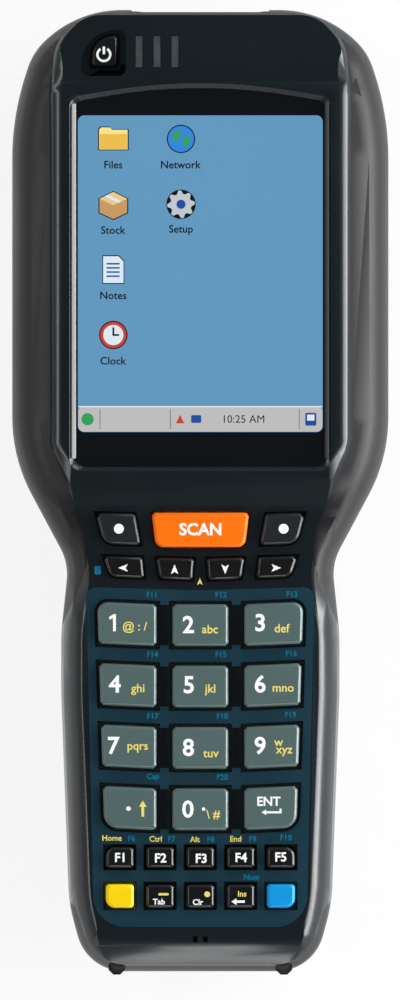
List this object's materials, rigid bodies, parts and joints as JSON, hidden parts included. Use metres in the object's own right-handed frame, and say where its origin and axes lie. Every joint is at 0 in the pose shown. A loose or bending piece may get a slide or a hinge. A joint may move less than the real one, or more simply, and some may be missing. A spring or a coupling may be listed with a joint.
{
  "type": "portable barcode data terminal",
  "caption": "Handheld barcode terminal lying on its back: rubber-clad head with display and scan window, waist, keypad grip with pressing keys, hinged battery door.",
  "frame": {"origin": "middle of the length and width, on the plane that the flat back rests on", "axes": "+Z out of the front face, +Y along the length towards the scanning end, +X to the right of someone facing the keys"},
  "size_m": [0.0822, 0.2104, 0.043],
  "materials": {
    "bezel_plastic": "satin",
    "case_plastic": "fine texture",
    "rubber": "matte",
    "faceplate": "satin",
    "key_grey": "satin",
    "key_black": "satin",
    "key_orange": "satin",
    "key_yellow": "satin",
    "key_blue": "satin",
    "panel_glass": "glossy",
    "window_red": "glossy",
    "light_pipe": "translucent",
    "gasket": "matte",
    "circuit_board": "solder mask",
    "module_metal": "satin",
    "battery_wrap": "smooth",
    "screw_steel": "satin"
  },
  "bodies": {
    "terminal": {"front_housing": "bezel_plastic", "rear_housing": "case_plastic", "left_bumper": "rubber", "right_bumper": "rubber", "nose_hood": "rubber", "base_bumper": "rubber", "scan_window": "window_red", "scan_engine": "case_plastic", "keypad_faceplate": "faceplate", "display_gasket": "gasket", "touch_panel": "panel_glass", "lcd_module": "module_metal", "light_pipes": "light_pipe", "status_board": "circuit_board", "keypad_membrane": "gasket", "keypad_board": "circuit_board", "main_board": "circuit_board", "speaker": "module_metal", "microphone": "module_metal", "battery_pack": "battery_wrap", "battery_contacts": "case_plastic", "dock_connector": "case_plastic", "housing_screws": "screw_steel", "housing_gasket": "gasket", "door_hinge_pin": "screw_steel"},
    "power_key_body": {"power_key": "key_black"},
    "scan_key_body": {"scan_key": "key_orange"},
    "soft_key_left_body": {"soft_key_left": "key_black"},
    "soft_key_right_body": {"soft_key_right": "key_black"},
    "arrow_key_left_body": {"arrow_key_left": "key_black"},
    "arrow_key_up_body": {"arrow_key_up": "key_black"},
    "arrow_key_down_body": {"arrow_key_down": "key_black"},
    "arrow_key_right_body": {"arrow_key_right": "key_black"},
    "key_1_body": {"key_1": "key_grey"},
    "key_2_body": {"key_2": "key_grey"},
    "key_3_body": {"key_3": "key_grey"},
    "key_4_body": {"key_4": "key_grey"},
    "key_5_body": {"key_5": "key_grey"},
    "key_6_body": {"key_6": "key_grey"},
    "key_7_body": {"key_7": "key_grey"},
    "key_8_body": {"key_8": "key_grey"},
    "key_9_body": {"key_9": "key_grey"},
    "key_point_body": {"key_point": "key_grey"},
    "key_0_body": {"key_0": "key_grey"},
    "key_enter_body": {"key_enter": "key_grey"},
    "key_f1_body": {"key_f1": "key_black"},
    "key_f2_body": {"key_f2": "key_black"},
    "key_f3_body": {"key_f3": "key_black"},
    "key_f4_body": {"key_f4": "key_black"},
    "key_f5_body": {"key_f5": "key_black"},
    "yellow_key_body": {"yellow_key": "key_yellow"},
    "tab_key_body": {"tab_key": "key_black"},
    "escape_key_body": {"escape_key": "key_black"},
    "backspace_key_body": {"backspace_key": "key_black"},
    "blue_key_body": {"blue_key": "key_blue"},
    "door_body": {"battery_door": "case_plastic"}
  },
  "joints": [
    {"name": "door_swing", "type": "hinge", "parent": "terminal", "child": "door_body", "pos_m": [0, -0.0239, 0.0019], "axis": [1, 0, 0], "range_deg": [0, 90]},
    {"name": "power_key_press", "type": "slide", "parent": "terminal", "child": "power_key_body", "axis": [0, 0, -1], "range_m": [0, 0.0008], "stiffness_N_per_m": 1200, "springref_m": -0.0004},
    {"name": "scan_key_press", "type": "slide", "parent": "terminal", "child": "scan_key_body", "axis": [0, 0, -1], "range_m": [0, 0.0008], "stiffness_N_per_m": 1200, "springref_m": -0.0004},
    {"name": "soft_key_left_press", "type": "slide", "parent": "terminal", "child": "soft_key_left_body", "axis": [0, 0, -1], "range_m": [0, 0.0008], "stiffness_N_per_m": 1200, "springref_m": -0.0004},
    {"name": "soft_key_right_press", "type": "slide", "parent": "terminal", "child": "soft_key_right_body", "axis": [0, 0, -1], "range_m": [0, 0.0008], "stiffness_N_per_m": 1200, "springref_m": -0.0004},
    {"name": "arrow_key_left_press", "type": "slide", "parent": "terminal", "child": "arrow_key_left_body", "axis": [0, 0, -1], "range_m": [0, 0.0008], "stiffness_N_per_m": 1200, "springref_m": -0.0004},
    {"name": "arrow_key_up_press", "type": "slide", "parent": "terminal", "child": "arrow_key_up_body", "axis": [0, 0, -1], "range_m": [0, 0.0008], "stiffness_N_per_m": 1200, "springref_m": -0.0004},
    {"name": "arrow_key_down_press", "type": "slide", "parent": "terminal", "child": "arrow_key_down_body", "axis": [0, 0, -1], "range_m": [0, 0.0008], "stiffness_N_per_m": 1200, "springref_m": -0.0004},
    {"name": "arrow_key_right_press", "type": "slide", "parent": "terminal", "child": "arrow_key_right_body", "axis": [0, 0, -1], "range_m": [0, 0.0008], "stiffness_N_per_m": 1200, "springref_m": -0.0004},
    {"name": "key_1_press", "type": "slide", "parent": "terminal", "child": "key_1_body", "axis": [0, 0, -1], "range_m": [0, 0.0008], "stiffness_N_per_m": 1200, "springref_m": -0.0004},
    {"name": "key_2_press", "type": "slide", "parent": "terminal", "child": "key_2_body", "axis": [0, 0, -1], "range_m": [0, 0.0008], "stiffness_N_per_m": 1200, "springref_m": -0.0004},
    {"name": "key_3_press", "type": "slide", "parent": "terminal", "child": "key_3_body", "axis": [0, 0, -1], "range_m": [0, 0.0008], "stiffness_N_per_m": 1200, "springref_m": -0.0004},
    {"name": "key_4_press", "type": "slide", "parent": "terminal", "child": "key_4_body", "axis": [0, 0, -1], "range_m": [0, 0.0008], "stiffness_N_per_m": 1200, "springref_m": -0.0004},
    {"name": "key_5_press", "type": "slide", "parent": "terminal", "child": "key_5_body", "axis": [0, 0, -1], "range_m": [0, 0.0008], "stiffness_N_per_m": 1200, "springref_m": -0.0004},
    {"name": "key_6_press", "type": "slide", "parent": "terminal", "child": "key_6_body", "axis": [0, 0, -1], "range_m": [0, 0.0008], "stiffness_N_per_m": 1200, "springref_m": -0.0004},
    {"name": "key_7_press", "type": "slide", "parent": "terminal", "child": "key_7_body", "axis": [0, 0, -1], "range_m": [0, 0.0008], "stiffness_N_per_m": 1200, "springref_m": -0.0004},
    {"name": "key_8_press", "type": "slide", "parent": "terminal", "child": "key_8_body", "axis": [0, 0, -1], "range_m": [0, 0.0008], "stiffness_N_per_m": 1200, "springref_m": -0.0004},
    {"name": "key_9_press", "type": "slide", "parent": "terminal", "child": "key_9_body", "axis": [0, 0, -1], "range_m": [0, 0.0008], "stiffness_N_per_m": 1200, "springref_m": -0.0004},
    {"name": "key_point_press", "type": "slide", "parent": "terminal", "child": "key_point_body", "axis": [0, 0, -1], "range_m": [0, 0.0008], "stiffness_N_per_m": 1200, "springref_m": -0.0004},
    {"name": "key_0_press", "type": "slide", "parent": "terminal", "child": "key_0_body", "axis": [0, 0, -1], "range_m": [0, 0.0008], "stiffness_N_per_m": 1200, "springref_m": -0.0004},
    {"name": "key_enter_press", "type": "slide", "parent": "terminal", "child": "key_enter_body", "axis": [0, 0, -1], "range_m": [0, 0.0008], "stiffness_N_per_m": 1200, "springref_m": -0.0004},
    {"name": "key_f1_press", "type": "slide", "parent": "terminal", "child": "key_f1_body", "axis": [0, 0, -1], "range_m": [0, 0.0008], "stiffness_N_per_m": 1200, "springref_m": -0.0004},
    {"name": "key_f2_press", "type": "slide", "parent": "terminal", "child": "key_f2_body", "axis": [0, 0, -1], "range_m": [0, 0.0008], "stiffness_N_per_m": 1200, "springref_m": -0.0004},
    {"name": "key_f3_press", "type": "slide", "parent": "terminal", "child": "key_f3_body", "axis": [0, 0, -1], "range_m": [0, 0.0008], "stiffness_N_per_m": 1200, "springref_m": -0.0004},
    {"name": "key_f4_press", "type": "slide", "parent": "terminal", "child": "key_f4_body", "axis": [0, 0, -1], "range_m": [0, 0.0008], "stiffness_N_per_m": 1200, "springref_m": -0.0004},
    {"name": "key_f5_press", "type": "slide", "parent": "terminal", "child": "key_f5_body", "axis": [0, 0, -1], "range_m": [0, 0.0008], "stiffness_N_per_m": 1200, "springref_m": -0.0004},
    {"name": "yellow_key_press", "type": "slide", "parent": "terminal", "child": "yellow_key_body", "axis": [0, 0, -1], "range_m": [0, 0.0008], "stiffness_N_per_m": 1200, "springref_m": -0.0004},
    {"name": "tab_key_press", "type": "slide", "parent": "terminal", "child": "tab_key_body", "axis": [0, 0, -1], "range_m": [0, 0.0008], "stiffness_N_per_m": 1200, "springref_m": -0.0004},
    {"name": "escape_key_press", "type": "slide", "parent": "terminal", "child": "escape_key_body", "axis": [0, 0, -1], "range_m": [0, 0.0008], "stiffness_N_per_m": 1200, "springref_m": -0.0004},
    {"name": "backspace_key_press", "type": "slide", "parent": "terminal", "child": "backspace_key_body", "axis": [0, 0, -1], "range_m": [0, 0.0008], "stiffness_N_per_m": 1200, "springref_m": -0.0004},
    {"name": "blue_key_press", "type": "slide", "parent": "terminal", "child": "blue_key_body", "axis": [0, 0, -1], "range_m": [0, 0.0008], "stiffness_N_per_m": 1200, "springref_m": -0.0004}
  ]
}
